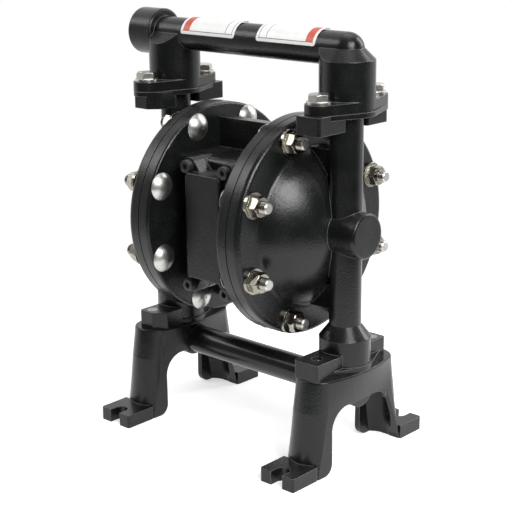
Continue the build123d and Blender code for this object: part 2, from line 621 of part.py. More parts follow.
def valve_spool():
    start = VALVE_BOTTOM_Z + PLUG_T
    spool = bar_z(SPOOL_R, start, start + SPOOL_L, 0, SPOOL_Y)
    land = SPOOL_L / 5
    for number in (1, 3):
        waist = bar_z(SPOOL_R + 1, start + number * land, start + (number + 1) * land, 0, SPOOL_Y)
        spool -= waist - bar_z(SPOOL_R * SPOOL_WAIST, start, start + SPOOL_L, 0, SPOOL_Y)
    return spool


def valve_screw(x, z):
    """Socket head screw seated on its ear."""
    head_y = SCREW_SEAT_Y - SOCKET_HEAD
    head = bar_y(SOCKET_HEAD_R, head_y, SCREW_SEAT_Y, x, z)
    head -= bar_y(SOCKET_R, head_y, head_y + SOCKET_DEPTH, x, z)
    return head + bar_y(VALVE_SCREW_R, SCREW_SEAT_Y, VALVE_PAD_Y + VALVE_SCREW_GRIP, x, z)


def muffler():
    start = PORT_FACE_Y
    can = bar_y(MUFFLER_R, start, start + MUFFLER_L, 0, EXHAUST_Z)
    can = fillet(can.faces().sort_by(Axis.Y)[-1].edges(), 3)
    for number in range(4):
        y = start + SLIT_PITCH * (number + 1)
        slit = bar_y(MUFFLER_R, y, y + SLIT_W, 0, EXHAUST_Z)
        can -= slit - bar_y(MUFFLER_R - SLIT_DEPTH, y, y + SLIT_W, 0, EXHAUST_Z)
    return can + bar_y(MUFFLER_NECK_R, start - MUFFLER_NECK_L, start, 0, EXHAUST_Z)


# ---------------------------------------------------------------- fasteners
def hexagon_bar_z(across_flats, z_from, z_to):
    face = RegularPolygon(across_flats / 2, 6, major_radius=False)
    return Pos(0, 0, z_from) * extrude(face, z_to - z_from)


def outlet_screw():
    seat = OUTLET_JOINT_Z + MANIFOLD_FLANGE + WASHER_T
    head = hexagon_bar_z(HEX_AF, seat, seat + HEX_HEAD)
    cone = Pos(0, 0, seat + HEX_HEAD / 2) * Cone(HEX_AF / 2 + HEX_HEAD, HEX_AF / 2, HEX_HEAD)
    return (head & cone) + bar_z(M8_R, OUTLET_JOINT_Z - EAR_HEIGHT, seat)


def outlet_washer():
    seat = OUTLET_JOINT_Z + MANIFOLD_FLANGE
    return bar_z(WASHER_R, seat, seat + WASHER_T) - bar_z(M8_HOLE_R, seat, seat + WASHER_T)


def foot_screw():
    head = hexagon_bar_z(HEX_AF, FOOT_EAR_Z - HEX_HEAD, FOOT_EAR_Z)
    return head + bar_z(M8_R, FOOT_EAR_Z, FOOT_JOINT_Z + EAR_HEIGHT)


def carriage_bolt():
    """Domed bolt with its head on the body's side of the flange."""
    crown_x = BODY_FACE_X - DOME_HEAD_H
    end_x = CAP_FACE_X + NUT_H + STUD_PAST_NUT
    crown_r = (DOME_HEAD_R ** 2 + DOME_HEAD_H ** 2) / (2 * DOME_HEAD_H)
    crown = RadiusArc((crown_x, 0), (BODY_FACE_X, DOME_HEAD_R), crown_r)
    rest = Polyline((BODY_FACE_X, DOME_HEAD_R), (BODY_FACE_X, M8_R), (end_x - TIP_CHAMFER, M8_R),
                    (end_x, M8_R - TIP_CHAMFER), (end_x, 0), (crown_x, 0))
    return revolve(make_face([crown, rest]), Axis.X)


def flange_nut():
    start = CAP_FACE_X
    face = Plane.YZ * RegularPolygon(HEX_AF / 2, 6, major_radius=False)
    nut = Pos(start, 0, 0) * extrude(face, NUT_H)
    cone = Pos(start + NUT_H / 2, 0, 0) * Rot(0, 90, 0) * Cone(HEX_AF / 2 + NUT_H, HEX_AF / 2, NUT_H)
    nut = (nut & cone) + bar_x(NUT_FLANGE_R, start, start + NUT_FLANGE_T, z=0)
    return nut - bar_x(M8_R, start, start + NUT_H, z=0)


def on_flange(piece):
    return Part() + [Pos(0, y, z) * piece for y, z in flange_spots()]


def on_columns(piece, screw_y):
    spots = [(x, y) for x in (-COLUMN_X, COLUMN_X) for y in (-screw_y, screw_y)]
    return Part() + [Pos(x, y, 0) * piece for x, y in spots]


# ---------------------------------------------------------------- build and write
os.makedirs("parts", exist_ok=True)

right_cap = fluid_cap()
save(right_cap, "right_fluid_cap")
save(turned(right_cap), "left_fluid_cap")
save(outlet_manifold(), "outlet_manifold")

casting = foot()
save(Pos(COLUMN_X, 0, 0) * (casting - tube_socket()), "right_foot")
left_foot = Pos(-COLUMN_X, 0, 0) * (casting - turned(tube_socket()))
save(left_foot + inlet_boss() - inlet_port(), "left_foot")
tube_end = COLUMN_X - FOOT_HALF_X + TUBE_SOCKET
save(bar_x(TUBE_R, -tube_end, tube_end, z=TUBE_Z) - bar_x(PASSAGE_R, -tube_end, tube_end, z=TUBE_Z),
     "inlet_tube")

save(center_body(), "center_body")
save(Part() + [shaft_bush(), mirrored(shaft_bush())], "shaft_bushes")
save(diaphragm_rod(), "diaphragm_rod")
for node, piece in (("air_chamber", air_chamber()), ("diaphragm_rim", diaphragm_rim()), ("diaphragm_disc", moving_disc()),
                    ("inner_plate", inner_plate()), ("outer_plate", outer_plate()),
                    ("rod_end_screw", end_screw())):
    save(piece, f"right_{node}")
    save(mirrored(piece), f"left_{node}")
save(bar_x(PILOT_R, -PILOT_HALF_L, PILOT_HALF_L, PILOT_Y), "pilot_rod")

save(valve_block(), "air_valve_block")
save(valve_gasket(), "valve_gasket")
save(valve_spool(), "valve_spool")
save(Part() + [valve_plug(VALVE_BOTTOM_Z), valve_plug(VALVE_TOP_Z - PLUG_T)], "valve_end_plugs")
save(Part() + [valve_screw(x, z) for x, z in valve_spots()], "valve_screws")
save(muffler(), "exhaust_muffler")

for level, joint in (("inlet", FOOT_JOINT_Z), ("outlet", OUTLET_JOINT_Z)):
    save(Part() + [Pos(x, 0, 0) * seat_ring(joint) for x in (-COLUMN_X, COLUMN_X)], f"{level}_ball_seats")
    save(Part() + [Pos(x, 0, 0) * o_ring(joint) for x in (-COLUMN_X, COLUMN_X)], f"{level}_o_rings")
    for side, x in (("left", -COLUMN_X), ("right", COLUMN_X)):
        save(Pos(x, 0, ball_z(joint)) * Sphere(BALL_R), f"{side}_{level}_ball")

bolts = on_flange(carriage_bolt())
nuts = on_flange(flange_nut())
save(bolts, "right_flange_bolts")
save(nuts, "right_flange_nuts")
save(mirrored(bolts), "left_flange_bolts")
save(mirrored(nuts), "left_flange_nuts")
save(on_columns(outlet_screw(), OUTLET_SCREW_Y), "outlet_manifold_screws")
save(on_columns(outlet_washer(), OUTLET_SCREW_Y), "outlet_manifold_washers")
save(on_columns(foot_screw(), FOOT_SCREW_Y), "foot_screws")
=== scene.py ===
# %% [markdown]
# # Dressing an air operated diaphragm pump
# The pump's castings, bolts and balls come from a CAD model, so their shapes and places are settled.
# This lesson gives them their finishes, adds the small things that a solid leaves out, such as labels
# and thread turns, and sets up a plain studio.

# %% Load the frame
import json
from math import cos, pi, radians, sin

import bpy
from mathutils import Matrix, Vector


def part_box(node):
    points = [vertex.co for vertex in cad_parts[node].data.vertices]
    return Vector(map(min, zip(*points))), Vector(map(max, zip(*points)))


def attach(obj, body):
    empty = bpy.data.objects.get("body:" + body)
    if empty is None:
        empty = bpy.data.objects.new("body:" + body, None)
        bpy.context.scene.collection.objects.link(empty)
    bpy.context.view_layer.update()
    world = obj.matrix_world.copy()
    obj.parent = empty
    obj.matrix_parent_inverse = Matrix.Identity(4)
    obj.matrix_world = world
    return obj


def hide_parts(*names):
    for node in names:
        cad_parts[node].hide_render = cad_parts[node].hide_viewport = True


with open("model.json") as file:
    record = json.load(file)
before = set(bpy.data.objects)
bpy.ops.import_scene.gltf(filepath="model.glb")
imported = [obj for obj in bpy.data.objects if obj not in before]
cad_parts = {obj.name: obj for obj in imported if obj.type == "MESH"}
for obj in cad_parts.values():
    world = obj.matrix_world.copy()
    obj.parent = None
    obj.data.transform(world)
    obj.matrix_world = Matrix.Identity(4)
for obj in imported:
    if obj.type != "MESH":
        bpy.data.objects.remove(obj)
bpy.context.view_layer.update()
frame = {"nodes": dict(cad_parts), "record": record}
nodes = frame["nodes"]


def in_mm(values):
    return [round(1000 * value, 1) for value in values]


# %% [markdown]
# ## Camera
# A product shot is taken from a little above, with a long lens, so that the round flanges stay nearly
# true. A camera can be aimed by a constraint or by angles. Angles are used here, because the azimuth,
# the height and the small roll can then be read off and changed one at a time.

# %% Turn two angles into a direction
AIM = Vector((0, 0, 0.180))


def direction(azimuth, elevation):
    """From the aim towards a camera or a lamp. Azimuth 0 is the front, and it grows to the right."""
    return Vector((sin(azimuth) * cos(elevation), -cos(azimuth) * cos(elevation), sin(elevation)))


print("front is along", direction(0, 0)[:])

# %% Place the camera
AZIMUTH, ELEVATION, ROLL = radians(42.776), radians(15.926), radians(-0.581)
DISTANCE, SLIDE_RIGHT, SLIDE_UP = 0.941261, -0.000889, -0.046191
FILM_MM, LENS_MM, NEAREST = 36, 91.85, 0.01

back = direction(AZIMUTH, ELEVATION)
level = Vector((cos(AZIMUTH), sin(AZIMUTH), 0))
upright = back.cross(level)
right = cos(ROLL) * level + sin(ROLL) * upright
up = -sin(ROLL) * level + cos(ROLL) * upright
lens = bpy.data.cameras.new("studio_camera")
lens.sensor_width = FILM_MM
lens.lens = LENS_MM
lens.clip_start = NEAREST
camera = bpy.data.objects.new("studio_camera", lens)
bpy.context.scene.collection.objects.link(camera)
turn = Matrix((right, up, back)).transposed().to_4x4()
stand = AIM + DISTANCE * back + SLIDE_RIGHT * right + SLIDE_UP * up
camera.matrix_world = Matrix.Translation(stand) @ turn
bpy.context.scene.camera = camera
bpy.context.scene.view_settings.view_transform = "Standard"
print("camera at", in_mm(stand), "mm")

# %% [markdown]
# ## Wiring shaders in code
# Every finish below is a small net of nodes. It could be drawn by hand in the shader editor. In code,
# one helper adds a node, fills in its inputs and links whatever is already a socket, so that each net
# reads from top to bottom. Smaller helpers stand for the nodes that come up again and again.


# %% A helper that adds one shader node
def shader(tree, kind, inputs=None, **settings):
    made = tree.nodes.new("ShaderNode" + kind)
    for name, value in settings.items():
        setattr(made, name, value)
    for name, value in (inputs or {}).items():
        if isinstance(value, bpy.types.NodeSocket):
            tree.links.new(value, made.inputs[name])
        else:
            made.inputs[name].default_value = value
    return made


print("helper ready: shader")


# %% Helpers for sums, ranges and noise
def calculate(tree, operation, first, second, clamp=False):
    made = shader(tree, "Math", {0: first, 1: second}, operation=operation, use_clamp=clamp)
    return made.outputs["Value"]


def stretch(tree, value, start=0.0, end=1.0, low=0.0, high=1.0):
    """Takes start to low and end to high, and what lies between them in proportion."""
    ends = {"From Min": start, "From Max": end, "To Min": low, "To Max": high}
    return shader(tree, "MapRange", {"Value": value, **ends}).outputs["Result"]


def noise(tree, place, scale, detail, **more):
    inputs = {"Vector": place, "Scale": scale, "Detail": detail, **more}
    return shader(tree, "TexNoise", inputs).outputs[0]


print("helpers ready: calculate, stretch, noise")

# %% Helpers that blend two values or two colours by a mask
# A Mix node has sockets of its own for each kind of data, under the same names, so they are numbered.
MIX_SHARE = 0
VALUE_FIRST, VALUE_SECOND, VALUE_RESULT = 2, 3, 0
COLOUR_FIRST, COLOUR_SECOND, COLOUR_RESULT = 6, 7, 2


def blend_values(tree, share, first, second):
    sockets = {MIX_SHARE: share, VALUE_FIRST: first, VALUE_SECOND: second}
    return shader(tree, "Mix", sockets, data_type="FLOAT").outputs[VALUE_RESULT]


def opaque(colour):
    return (*colour, 1) if isinstance(colour, tuple) else colour


def blend_colours(tree, share, first, second):
    sockets = {MIX_SHARE: share, COLOUR_FIRST: opaque(first), COLOUR_SECOND: opaque(second)}
    return shader(tree, "Mix", sockets, data_type="RGBA").outputs[COLOUR_RESULT]


print("helpers ready: blend_values, blend_colours")


# %% A helper that starts a node group
def effect_group(name, inputs, outputs):
    """inputs gives each knob's value, outputs each result's kind, Float or Vector."""
    tree = bpy.data.node_groups.new(name, "ShaderNodeTree")
    for socket, value in inputs.items():
        knob = tree.interface.new_socket(name=socket, in_out="INPUT", socket_type="NodeSocketFloat")
        knob.default_value = value
    for socket, kind in outputs.items():
        tree.interface.new_socket(name=socket, in_out="OUTPUT", socket_type="NodeSocket" + kind)
    return tree, tree.nodes.new("NodeGroupInput"), tree.nodes.new("NodeGroupOutput")


print("helper ready: effect_group")

# %% [markdown]
# ## Grain of a coated casting
# Aluminium poured in sand keeps a fine pebbled skin, and the powder coat on it adds orange peel. Both
# could be modelled, at the cost of millions of faces. Noise gives the height instead, with round pits
# between its bumps, and a much broader noise makes the colour and the gloss drift.

# %% Build the grain group
BROAD_SCALE = 0.09  # the broad clouds' scale, as a share of the fine grain's


def build_grain():
    knobs = {"Size mm": 0.8, "Pits": 0.3}
    tree, given, result = effect_group("grain", knobs, {"Height": "Float", "Mottle": "Float"})
    place = shader(tree, "TexCoord").outputs["Object"]
    scale = calculate(tree, "DIVIDE", 1000.0, given.outputs["Size mm"])
    fine = noise(tree, place, scale, detail=3.0, Roughness=0.6)
    broad = noise(tree, place, calculate(tree, "MULTIPLY", scale, BROAD_SCALE), detail=2.0)
    cells = shader(tree, "TexVoronoi", {"Vector": place, "Scale": scale})
    pits = calculate(tree, "MULTIPLY", cells.outputs["Distance"], given.outputs["Pits"])
    mottle = stretch(tree, calculate(tree, "MULTIPLY", fine, broad), start=0.12, end=0.42)
    tree.links.new(calculate(tree, "ADD", fine, pits), result.inputs["Height"])
    tree.links.new(mottle, result.inputs["Mottle"])
    return tree


grain = build_grain()
print("grain group:", len(grain.nodes), "nodes")

# %% [markdown]
# ## Edges: wear and painted highlight
# Powder coat pulls thin over sharp edges and is rubbed there. The mask turns edges into pale lines,
# which are partly that wear and partly a painted highlight for the light that round edges catch. A
# painted mask would be tied to one mesh. The Bevel node finds edges on any mesh: where the softened
# normal leaves the true one, there is an edge, and a little noise breaks it up. The softened normal is
# put out too, so that every edge is lit as if it were slightly round, as cast and coated edges are.

# %% Build the edge group
BEVEL_SAMPLES = 6
CHIP_SCALE = 380.0


def build_edges():
    knobs = {"Radius": 0.0008, "Gain": 2.0}
    tree, given, result = effect_group("edge_wear_and_highlight", knobs, {"Mask": "Float", "Normal": "Vector"})
    rounded = shader(tree, "Bevel", {"Radius": given.outputs["Radius"]}, samples=BEVEL_SAMPLES)
    soft = rounded.outputs["Normal"]
    true = shader(tree, "NewGeometry").outputs["Normal"]
    alike = shader(tree, "VectorMath", {0: soft, 1: true}, operation="DOT_PRODUCT").outputs["Value"]
    apart = calculate(tree, "SUBTRACT", 1.0, alike)
    strong = calculate(tree, "MULTIPLY", apart, given.outputs["Gain"])
    place = shader(tree, "TexCoord").outputs["Object"]
    chips = stretch(tree, noise(tree, place, CHIP_SCALE, detail=4.0), start=0.3, end=0.7, low=0.45)
    # The mask marks edges for a paler colour that is partly wear and partly a painted highlight.
    tree.links.new(calculate(tree, "MULTIPLY", strong, chips, clamp=True), result.inputs["Mask"])
    tree.links.new(soft, result.inputs["Normal"])
    return tree


edge_wear_and_highlight = build_edges()
print("edge group:", len(edge_wear_and_highlight.nodes), "nodes")

# %% [markdown]
# ## Dust
# A pump in a store room gathers a thin grey film on what faces up. A film could be a layer of its own
# over each mesh. A mask is enough here: the upward part of the normal says where the film lies, and
# broad noise keeps it from lying evenly.

# %% Build the dust group
DRIFT_SCALE = 55.0


def build_dust():
    tree, given, result = effect_group("dust", {"Amount": 0.2}, {"Mask": "Float"})
    normal = shader(tree, "NewGeometry").outputs["Normal"]
    upward = shader(tree, "SeparateXYZ", {"Vector": normal}).outputs["Z"]
    lying = stretch(tree, upward, start=0.35)
    place = shader(tree, "TexCoord").outputs["Object"]
    uneven = stretch(tree, noise(tree, place, DRIFT_SCALE, detail=5.0), start=0.3, end=0.75)
    film = calculate(tree, "MULTIPLY", lying, uneven)
    mask = calculate(tree, "MULTIPLY", film, given.outputs["Amount"], clamp=True)
    tree.links.new(mask, result.inputs["Mask"])
    return tree


dust = build_dust()
print("dust group:", len(dust.nodes), "nodes")

# %% [markdown]
# ## From groups to a finish
# A finish is one Principled BSDF with a few groups in front of it. What is the same all over the
# surface is set on the shader's own sockets. What changes over the surface goes to its colour, its
# roughness and its normal. The height of the relief is given in millimetres, as it would be measured.


# %% Helpers that start a finish and place a group in it
def new_finish(name, **fixed):
    material = bpy.data.materials.new(name)
    material.use_nodes = True
    surface = material.node_tree.nodes["Principled BSDF"]
    for socket, value in fixed.items():
        surface.inputs[socket.replace("_", " ")].default_value = value
    return material, material.node_tree, surface


def use_group(tree, group, **inputs):
    made = tree.nodes.new("ShaderNodeGroup")
    made.node_tree = group
    for name, value in inputs.items():
        made.inputs[name.replace("_", " ")].default_value = value
    return made


print("helpers ready: new_finish, use_group")


# %% A helper that feeds the surface
def feed_surface(tree, surface, colour, roughness, **relief):
    """relief names the inputs of the Bump node."""
    bump = shader(tree, "Bump", relief)
    tree.links.new(colour, surface.inputs["Base Color"])
    tree.links.new(roughness, surface.inputs["Roughness"])
    tree.links.new(bump.outputs["Normal"], surface.inputs["Normal"])


print("helper ready: feed_surface")

# %% [markdown]
# ## Satin black powder coat
# The coat is nearly black, but it is glossy enough to turn grey under soft light. A plain dark colour
# would look like plastic. Grain gives the bump, edges turn paler, partly from wear and partly as a
# painted highlight, and a trace of dust lies on top. Rough castings and drawn tube share this one
# recipe with other values, so a function builds it.

# %% Make the black coats
COAT_DARK, COAT_LIGHT = (0.0045, 0.005, 0.005), (0.011, 0.012, 0.0115)
RUBBED_AND_HIGHLIT_COAT, COAT_DUST = (0.24, 0.243, 0.24), (0.20, 0.195, 0.185)
COAT_IOR, COAT_EDGE, COAT_RELIEF = 1.4, 0.0009, 0.6


def black_coat(name, size_mm, pits, bump_mm, rough, rub_and_highlight):
    material, tree, surface = new_finish(name, IOR=COAT_IOR)
    skin = use_group(tree, grain, Size_mm=size_mm, Pits=pits)
    edges = use_group(tree, edge_wear_and_highlight, Radius=COAT_EDGE, Gain=rub_and_highlight)
    film = use_group(tree, dust, Amount=0.10)
    mottle = skin.outputs["Mottle"]
    colour = blend_colours(tree, mottle, COAT_DARK, COAT_LIGHT)
    # The edges turn paler here: partly wear, partly a painted highlight.
    colour = blend_colours(tree, edges.outputs["Mask"], colour, RUBBED_AND_HIGHLIT_COAT)
    colour = blend_colours(tree, film.outputs["Mask"], colour, COAT_DUST)
    feed_surface(tree, surface, colour, stretch(tree, mottle, low=rough[0], high=rough[1]),
                 Strength=COAT_RELIEF, Distance=bump_mm / 1000, Height=skin.outputs["Height"],
                 Normal=edges.outputs["Normal"])
    return material


cast_coat = black_coat("cast_black_coat", size_mm=1.1, pits=0.5, bump_mm=0.15,
                       rough=(0.19, 0.30), rub_and_highlight=3.0)
smooth_coat = black_coat("smooth_black_coat", size_mm=0.6, pits=0.1, bump_mm=0.02,
                         rough=(0.18, 0.26), rub_and_highlight=1.2)
print("coats:", cast_coat.name, smooth_coat.name)

# %% [markdown]
# ## Bright steel and threads
# Stainless nuts and studs are barrelled and polished, so they mirror the studio with faint wear marks.
# Their edges are made paler, partly as rubbed wear and partly as a painted highlight.
# The domed bolt heads are tumbled and stay duller, and the washers lie between the two. One plain
# metal for all would hide that. The thread turns get a steel whose edges are hardly softened, because
# a wide softening would blur their crests.

# %% Make the bright steels
CLOUD_SHADE = 0.66  # the clouds on the steel, as a share of its colour
RUBBED_AND_HIGHLIT_STEEL = (0.9, 0.89, 0.87)
SCRATCH_SCALE, CLOUD_SCALE, SCRATCH_TWIST = 900.0, 160.0, 1.5
STEEL_RUB_AND_HIGHLIGHT, STEEL_RELIEF = 2.0, 0.5


def bright_steel(name, colour, rough, scratch_mm, edge):
    material, tree, surface = new_finish(name, Metallic=1.0)
    place = shader(tree, "TexCoord").outputs["Object"]
    scratches = noise(tree, place, SCRATCH_SCALE, detail=4.0, Distortion=SCRATCH_TWIST)
    cloud = noise(tree, place, CLOUD_SCALE, detail=3.0)
    edges = use_group(tree, edge_wear_and_highlight, Radius=edge, Gain=STEEL_RUB_AND_HIGHLIGHT)
    tint = blend_colours(tree, cloud, tuple(CLOUD_SHADE * part for part in colour), colour)
    # The edges turn paler here: partly rubbed wear, partly a painted highlight.
    tint = blend_colours(tree, edges.outputs["Mask"], tint, RUBBED_AND_HIGHLIT_STEEL)
    feed_surface(tree, surface, tint, stretch(tree, cloud, low=rough[0], high=rough[1]),
                 Strength=STEEL_RELIEF, Distance=scratch_mm / 1000, Height=scratches,
                 Normal=edges.outputs["Normal"])
    return material


stainless = bright_steel("polished_stainless", (0.37, 0.35, 0.30), rough=(0.12, 0.24),
                         scratch_mm=0.04, edge=0.0003)
washer_steel = bright_steel("washer_steel", (0.70, 0.68, 0.64), rough=(0.22, 0.38),
                            scratch_mm=0.05, edge=0.0004)
head_steel = bright_steel("tumbled_head_steel", (0.66, 0.655, 0.63), rough=(0.26, 0.46),
                          scratch_mm=0.06, edge=0.0004)
thread_steel = bright_steel("thread_steel", (0.42, 0.40, 0.35), rough=(0.18, 0.30),
                            scratch_mm=0.01, edge=0.00004)
print("steels:", [steel.name for steel in (stainless, washer_steel, head_steel, thread_steel)])

# %% [markdown]
# ## Smaller finishes
# The valve's screws are blackened steel, the gasket and the diaphragms are rubber, the balls are white
# fluoroplastic and the bushes and the muffler are sintered bronze. The seam between the flanges gets a
# near black, dull painted shadow. Each is told apart by its colour, its gloss and the size of its
# grain, so one function with those values makes them all.

# %% A helper that makes a finish from grain and dust
SMALL_PITS, SMALL_DUST, SMALL_RELIEF = 0.2, 0.1, 0.5
PALE_DUST = (0.3, 0.29, 0.28)


def plain_finish(name, dark, light, rough, size_mm, bump_mm, **fixed):
    material, tree, surface = new_finish(name, **fixed)
    skin = use_group(tree, grain, Size_mm=size_mm, Pits=SMALL_PITS)
    film = use_group(tree, dust, Amount=SMALL_DUST)
    mottle = skin.outputs["Mottle"]
    colour = blend_colours(tree, mottle, dark, light)
    colour = blend_colours(tree, film.outputs["Mask"], colour, PALE_DUST)
    feed_surface(tree, surface, colour, stretch(tree, mottle, low=rough[0], high=rough[1]),
                 Strength=SMALL_RELIEF, Distance=bump_mm / 1000, Height=skin.outputs["Height"])
    return material


print("helper ready: plain_finish")

# %% Make the smaller finishes
# A painted shadow for the seam between the flanges, darker and duller than real rubber.
seam_shadow = plain_finish("seam_shadow", (0.002, 0.002, 0.002), (0.004, 0.004, 0.004),
                            rough=(0.85, 0.95), size_mm=0.5, bump_mm=0.02, IOR=1.2)
black_steel = plain_finish("blackened_steel", (0.012, 0.012, 0.013), (0.03, 0.03, 0.03),
                           rough=(0.28, 0.42), size_mm=0.3, bump_mm=0.03)
rubber = plain_finish("black_rubber", (0.012, 0.012, 0.012), (0.025, 0.025, 0.025),
                      rough=(0.6, 0.8), size_mm=0.5, bump_mm=0.06)
white_plastic = plain_finish("white_fluoroplastic", (0.78, 0.78, 0.75), (0.87, 0.87, 0.85),
                             rough=(0.35, 0.5), size_mm=0.6, bump_mm=0.02)
bronze = plain_finish("sintered_bronze", (0.30, 0.19, 0.09), (0.50, 0.35, 0.18),
                      rough=(0.4, 0.6), size_mm=0.35, bump_mm=0.2, Metallic=1.0)
print("smaller finishes:", [f.name for f in (seam_shadow, black_steel, rubber, white_plastic, bronze)])

# %% [markdown]
# ## Giving each node its finish
# The record names a material slot for every node. Each node could be dressed by hand. A dictionary that
# turns the slot into a finish does it in one loop, and a second one names the few nodes that differ:
# the drawn inlet tube, the washers and the bolt heads.

# %% Assign the finishes
finish_of_slot = {
    "black_coat": cast_coat,
    "stainless": stainless,
    "black_steel": black_steel,
    "rubber": rubber,
    "white_plastic": white_plastic,
    "bronze": bronze,
}
own_finish = {
    "inlet_tube": smooth_coat,
    "outlet_manifold_washers": washer_steel,
    "outlet_manifold_screws": washer_steel,
    "left_flange_bolts": head_steel,
    "right_flange_bolts": head_steel,
}
for subpart in frame["record"]["subparts"]:
    name = subpart["node"]
    materials = nodes[name].data.materials
    materials.clear()
    materials.append(own_finish.get(name, finish_of_slot[subpart["material_slot"]]))

# %% [markdown]
# ## Labels on the rail
# Two vinyl labels are wrapped over the top of the rail, each a white sheet with round corners, a thin
# frame line and a red band at its outer end. They carry no lettering here. A label could be cut from a
# tube. It starts as a flat plane instead, because corners, insets and cuts are easy on the flat. The
# Simple Deform modifier then rolls it round the rail's axis: a sheet standing in XZ bends about X, and
# the angle is its height over the radius. The border is wider than the corners are round, so at each
# corner the second inset throws two points a little past the edge, which also opens the roll slightly.
# A corner rounder than the border and the line together would keep them in.

# %% Make the label finishes
vinyl_white = plain_finish("label_white", (0.80, 0.80, 0.79), (0.88, 0.88, 0.87),
                           rough=(0.3, 0.4), size_mm=0.5, bump_mm=0.01)
vinyl_red = plain_finish("label_red", (0.50, 0.055, 0.03), (0.62, 0.10, 0.055),
                         rough=(0.3, 0.4), size_mm=0.5, bump_mm=0.01)
vinyl_ink = plain_finish("label_ink", (0.015, 0.015, 0.015), (0.03, 0.03, 0.03),
                         rough=(0.35, 0.45), size_mm=0.5, bump_mm=0.01)
print("label finishes:", [vinyl.name for vinyl in (vinyl_white, vinyl_red, vinyl_ink)])

# %% Measures of a label
RAIL_Z, RAIL_R = 0.2885, 0.0115
LABEL_L, LABEL_H, LABEL_T = 0.0530, 0.0235, 0.0001
LABEL_CORNER, CORNER_STEPS, ROLL_STEPS = 0.0017, 5, 26
LABEL_LOW = radians(7.5) * RAIL_R  # the lower edge starts this far round the rail
LABEL_MIDDLE = LABEL_LOW + LABEL_H / 2
LABEL_LIFT = 0.00003  # the glue under the sheet
BORDER, LINE_W, BAND_W, DIVIDER_IN = 0.0022, 0.00045, 0.0064, 0.0068


def label_lines(band_side):
    """x of the red band's inner edge, and of the thin upright line near the other end."""
    frame_x = LABEL_L / 2 - BORDER
    return band_side * (frame_x - BAND_W), -band_side * (frame_x - DIVIDER_IN)


print("a label goes", round(LABEL_H / RAIL_R / (2 * pi), 2), "of the way round the rail")


# %% Helpers that select, cut and apply
def start_piece(name):
    piece = bpy.context.active_object
    piece.name = name
    return piece


def clear_selection():
    bpy.ops.object.select_all(action="DESELECT")


def cut(point, normal):
    bpy.ops.mesh.select_all(action="SELECT")
    bpy.ops.mesh.bisect(plane_co=point, plane_no=normal)


def apply_modifiers(piece):
    for modifier in list(piece.modifiers):
        bpy.ops.object.modifier_apply(modifier=modifier.name)


print("helpers ready: start_piece, clear_selection, cut, apply_modifiers")


# %% Make one flat label
def flat_label(name, band_side):
    clear_selection()
    bpy.ops.mesh.primitive_plane_add(size=1)
    label = start_piece(name)
    label.scale = (LABEL_L, LABEL_H, 1)
    label.rotation_euler = (pi / 2, 0, 0)
    label.location = (0, 0, LABEL_MIDDLE)
    bpy.ops.object.transform_apply()
    bpy.ops.object.mode_set(mode="EDIT")
    bpy.ops.mesh.select_all(action="SELECT")
    bpy.ops.mesh.bevel(offset=LABEL_CORNER, offset_pct=0, segments=CORNER_STEPS, affect="VERTICES")
    bpy.ops.mesh.select_all(action="SELECT")
    bpy.ops.mesh.inset(thickness=BORDER, depth=0)
    bpy.ops.mesh.inset(thickness=LINE_W, depth=0)
    band_x, divider_x = label_lines(band_side)
    for x in (band_x, divider_x, divider_x + LINE_W):
        cut((x, 0, 0), (1, 0, 0))
    for step in range(1, ROLL_STEPS):
        cut((0, 0, LABEL_LOW + LABEL_H * step / ROLL_STEPS), (0, 0, 1))
    bpy.ops.object.mode_set(mode="OBJECT")
    return label


print("a flat label gets", ROLL_STEPS - 1, "cuts across for the roll")

# %% Colour its faces
WHITE, INK, RED = 0, 1, 2  # the order of the label's materials


def colour_label(label, band_side):
    for material in (vinyl_white, vinyl_ink, vinyl_red):
        label.data.materials.append(material)
    band_x, divider_x = label_lines(band_side)
    for face in label.data.polygons:
        x, z = face.center.x, face.center.z
        inside = min(LABEL_L / 2 - abs(x), LABEL_H / 2 - abs(z - LABEL_MIDDLE))
        on_line = inside < BORDER + LINE_W or divider_x < x < divider_x + LINE_W
        if inside < BORDER:
            face.material_index = WHITE
        elif band_side * (x - band_x) > 0:
            face.material_index = RED
        else:
            face.material_index = INK if on_line else WHITE


print("label colours:", WHITE, "white,", INK, "ink,", RED, "red")


# %% Roll it onto the rail
def roll_label(label, centre_x):
    thick = label.modifiers.new("thickness", "SOLIDIFY")
    thick.thickness = LABEL_T
    thick.offset = 1
    roll = label.modifiers.new("roll", "SIMPLE_DEFORM")
    roll.deform_method = "BEND"
    roll.deform_axis = "X"
    roll.angle = LABEL_H / RAIL_R
    apply_modifiers(label)
    label.location = (centre_x, -RAIL_R - LABEL_LIFT, RAIL_Z)
    bpy.ops.object.transform_apply()
    bpy.ops.object.shade_smooth_by_angle(angle=radians(40))


for name, centre_x, band_side in (("left_rail_label", -0.0370, -1), ("right_rail_label", 0.0368, 1)):
    label = flat_label(name, band_side)
    colour_label(label, band_side)
    roll_label(label, centre_x)
    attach(label, "pump")
    print(name, len(label.data.polygons), "faces,", in_mm(label.dimensions), "mm")

# %% [markdown]
# ## Thread turns
# Each flange bolt ends in a few bare turns of thread past its nut, and the ports are tapped. A spiral
# could be swept along a helix, but its run-out is hard to close. Rings a pitch apart look the same from
# a step away. One turn is a ring of four sides, stretched along its axis until its crest is sharp.

# %% Make one turn
RING_SIDES = 32
TURN_HALF_WIDTH = 0.48  # as a share of the pitch, so that neighbours nearly touch


